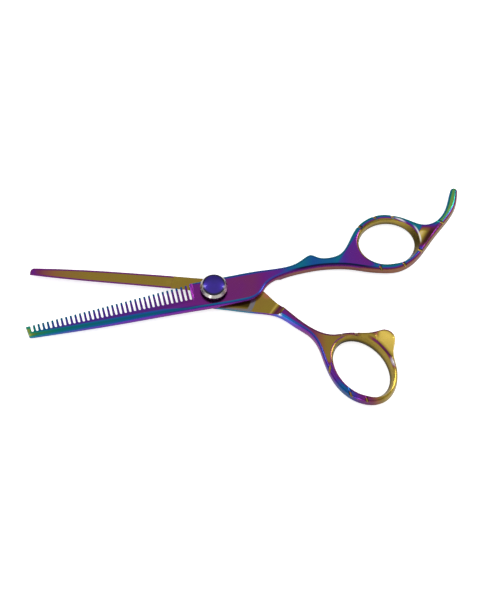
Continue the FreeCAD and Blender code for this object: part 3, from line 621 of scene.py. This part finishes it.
def rear_coating():
    """Plain half: gold inner face, purple shank, ring from blue round to gold."""
    finish = Finish("rear_coating")
    x = finish.x
    phase, tilt, from_pivot = rear_blade_and_shank(finish)
    phase, painted_sheen, corner, copper = rear_edges(finish, phase, tilt)
    phase = ground_step(finish, phase)
    phase, out, reach, low_left, hole_wall, wall_light = thumb_ring(finish, phase)
    # painted light on the lower flank, the highlight down the shank's edge and the copper reflection, and
    # painted shade down the hole's wall
    side_light = finish.product(finish.step(tilt, 0.35, 0.6), finish.step(x, 50, 38))
    light = finish.mix(side_light, 1.0, 1.5)
    light = finish.mix(painted_sheen, light, 2.4)
    light = finish.mix(copper, light, 1.5)
    light = finish.mix(hole_wall, light, wall_light)
    phase, light, ridge = thumb_spur(finish, phase, light, out, reach, low_left)
    # painted white highlight on the ridge, and the painted glint at the corner
    ridge_lit = finish.step(finish.vector("DISTANCE", finish.place, (69.6, -30.6, 2.0)), 3.2, 0.5)
    painted_highlight = finish.maths("MAXIMUM", corner, finish.product(ridge, ridge_lit, 0.85))

    # the nicks across the rim are gold
    on_rim = finish.product(finish.step(x, 39, 41), finish.step(reach, 0.88, 0.92),
                            finish.step(reach, 1.25, 1.15), finish.step(x, 61, 60))
    nicks = finish.product(nick_tone(finish), on_rim)
    phase = finish.mix(nicks, phase, 0.20)
    light, bare = ride_area(finish, light, from_pivot)
    coating(finish, phase, light, painted_highlight)
    coated = finish.surface.inputs["Base Color"].links[0].from_socket
    finish.set(Base_Color=finish.blend(bare, coated, display(128, 124, 130)))
    return finish.material


def turned_steel(name, shade, low_roughness, shade_below=None, relief=0.004):
    """Turned steel with concentric tool marks, relief mm deep, round the pivot axis.

    Below the height shade_below, where given, it is darkened with painted shade."""
    finish = Finish(name)
    radius = finish.vector("LENGTH", finish.vector("MULTIPLY", finish.place, (1, 1, 0)))
    wander = finish.noise(0.8, 3.0)
    wavy_radius = finish.maths("ADD", radius, finish.maths("MULTIPLY", wander, 0.1))
    rings = finish.maths("SINE", finish.maths("MULTIPLY", wavy_radius, TOOL_MARKS))
    fine = finish.noise(3.0, 5.0)
    patina = finish.noise(0.5, 4.0)
    darker = display(*[channel * 0.86 for channel in shade])
    tone = finish.ramp(patina, [(0.25, darker), (0.75, display(*shade))])
    if shade_below is not None:
        # painted shade under the knob's rim: dark below the height shade_below
        tone = finish.blend(finish.step(finish.z, shade_below, shade_below - 0.15), tone, display(34, 30, 34))
    roughness = finish.maths("ADD", finish.maths("MULTIPLY", fine, 0.18), low_roughness)
    finish.set(Base_Color=tone, Metallic=1.0, Roughness=roughness)
    height = finish.maths("ADD", finish.maths("MULTIPLY", rings, 0.5), fine)
    finish.bump(height, relief, 0.6)
    return finish.material


def cap_blue():
    """Glossy blue-violet dome under a clear lacquer."""
    finish = Finish("cap_blue")
    cloud = finish.noise(0.35, 2.0)
    radius = finish.vector("LENGTH", finish.vector("MULTIPLY", finish.place, (1, 1, 0)))
    tone = finish.ramp(cloud, [(0.3, display(46, 24, 136)), (0.7, display(52, 28, 152))])
    edge = finish.step(radius, 3.4, 4.15)
    tone = finish.blend(edge, tone, display(24, 18, 48))
    fine = finish.noise(2.4, 5.0)
    roughness = finish.maths("ADD", finish.maths("MULTIPLY", fine, 0.1), 0.26)
    finish.set(Base_Color=tone, Metallic=0.85, Coat_Weight=0.5, Coat_Roughness=0.1,
               Roughness=roughness)
    finish.bump(fine, 0.002, 0.2)
    return finish.material


def nylon():
    """Milky washer plastic with moulding grain."""
    finish = Finish("washer_nylon")
    grain = finish.noise(2.2, 6.0)
    tone = finish.ramp(grain, [(0.3, display(206, 202, 190)), (0.7, display(230, 227, 218))])
    roughness = finish.maths("ADD", finish.maths("MULTIPLY", grain, 0.2), 0.35)
    finish.set(Base_Color=tone, Roughness=roughness, Subsurface_Weight=0.1)
    finish.bump(grain, 0.01, 0.6)
    return finish.material


def dress(node, material):
    """Puts a finish on every slot of a CAD node."""
    for slot in frame["nodes"][node].material_slots:
        slot.material = material


def table(size):
    """Pale table top under the shears."""
    mesh = bpy.data.meshes.new("table_top")
    half = size / 2
    corners = [(-half, -half, 0), (half, -half, 0), (half, half, 0), (-half, half, 0)]
    mesh.from_pydata(corners, [], [(0, 1, 2, 3)])
    top = bpy.data.objects.new("table_top", mesh)
    bpy.context.scene.collection.objects.link(top)
    finish = Finish("table_paint")
    speckle = finish.noise(0.6, 6.0)
    tone = finish.ramp(speckle, [(0.3, grey(0.86)), (0.7, grey(0.9))])
    rays = finish.nodes.new("ShaderNodeLightPath").outputs["Is Camera Ray"]
    finish.set(Base_Color=tone, Roughness=0.7, Emission_Color=grey(1.0),
               Emission_Strength=finish.mix(rays, 0.1, 0.7))
    finish.bump(speckle, 0.02, 0.3)
    mesh.materials.append(finish.material)


def softbox(name, toward, distance, size, power, aim):
    """Square area light at a distance from the aim point, facing it."""
    data = bpy.data.lights.new(name, "AREA")
    data.shape = "RECTANGLE"
    data.size, data.size_y = size
    data.energy = power
    light = bpy.data.objects.new(name, data)
    light.location = aim + Vector(toward).normalized() * distance
    light.rotation_euler = (aim - light.location).to_track_quat("-Z", "Y").to_euler()
    bpy.context.scene.collection.objects.link(light)


def studio(aim):
    """Grey room, palest at the horizon and darkest a third of the way up, with two soft
    boxes behind, one at the right and a small lamp low in front."""
    world = bpy.data.worlds.new("room")
    bpy.context.scene.world = world
    world.use_nodes = True
    nodes = world.node_tree.nodes
    links = world.node_tree.links
    texture = nodes.new("ShaderNodeTexCoord")
    split = nodes.new("ShaderNodeSeparateXYZ")
    ramp = nodes.new("ShaderNodeValToRGB")
    links.new(texture.outputs["Generated"], split.inputs[0])
    links.new(split.outputs[2], ramp.inputs[0])
    links.new(ramp.outputs[0], nodes["Background"].inputs["Color"])
    heights = [(0.0, 0.95), (0.15, 0.75), (0.35, 0.30), (0.55, 0.40), (0.75, 0.72), (1.0, 0.80)]
    points = ramp.color_ramp.elements
    while len(points) < len(heights):
        points.new(0.5)
    for point, (height, level) in zip(points, heights):
        point.position = height
        point.color = grey(level)
    nodes["Background"].inputs["Strength"].default_value = 1.0
    softbox("left_box", toward=(-0.62, 0.34, 0.70), distance=0.6, size=(0.08, 0.20),
            power=0.5, aim=aim)
    softbox("right_box", toward=(0.66, 0.34, 0.68), distance=0.6, size=(0.08, 0.20),
            power=0.6, aim=aim)
    softbox("side_box", toward=(1.0, 0.12, 0.60), distance=0.6, size=(0.20, 0.20),
            power=0.7, aim=aim)
    softbox("low_lamp", toward=(-0.42, -0.90, 0.07), distance=0.5, size=(0.05, 0.05),
            power=0.25, aim=aim)


def camera(aim, elevation, height):
    """Parallel view from the front, elevation above level; height is the picture's."""
    data = bpy.data.cameras.new("camera")
    data.type = "ORTHO"
    data.ortho_scale = height
    view = bpy.data.objects.new("camera", data)
    back = Vector((0, -math.cos(elevation), math.sin(elevation)))
    view.location = aim + back * CAMERA_DISTANCE
    view.rotation_euler = (math.pi / 2 - elevation, 0, 0)
    bpy.context.scene.collection.objects.link(view)
    bpy.context.scene.camera = view


dress("toothed_half", front_coating())
dress("plain_half", rear_coating())
dress("pivot_screw", turned_steel("screw_steel", (178, 176, 174), 0.16))
dress("pivot_bush", turned_steel("bush_metal", (196, 168, 96), 0.24))
dress("click_spring", turned_steel("spring_steel", (150, 152, 158), 0.2))
dress("tension_knob", turned_steel("dial_steel", (205, 200, 194), 0.14, shade_below=4.1, relief=0.0012))
dress("knob_cap", cap_blue())
dress("friction_washer", nylon())

look_at = Vector((LOOK_RIGHT, -LOOK_DOWN / math.sin(ELEVATION), PIVOT.z))
table(TABLE_SIZE)
studio(look_at)
camera(look_at, ELEVATION, FRAME_HEIGHT)
bpy.context.scene.view_settings.view_transform = "Standard"
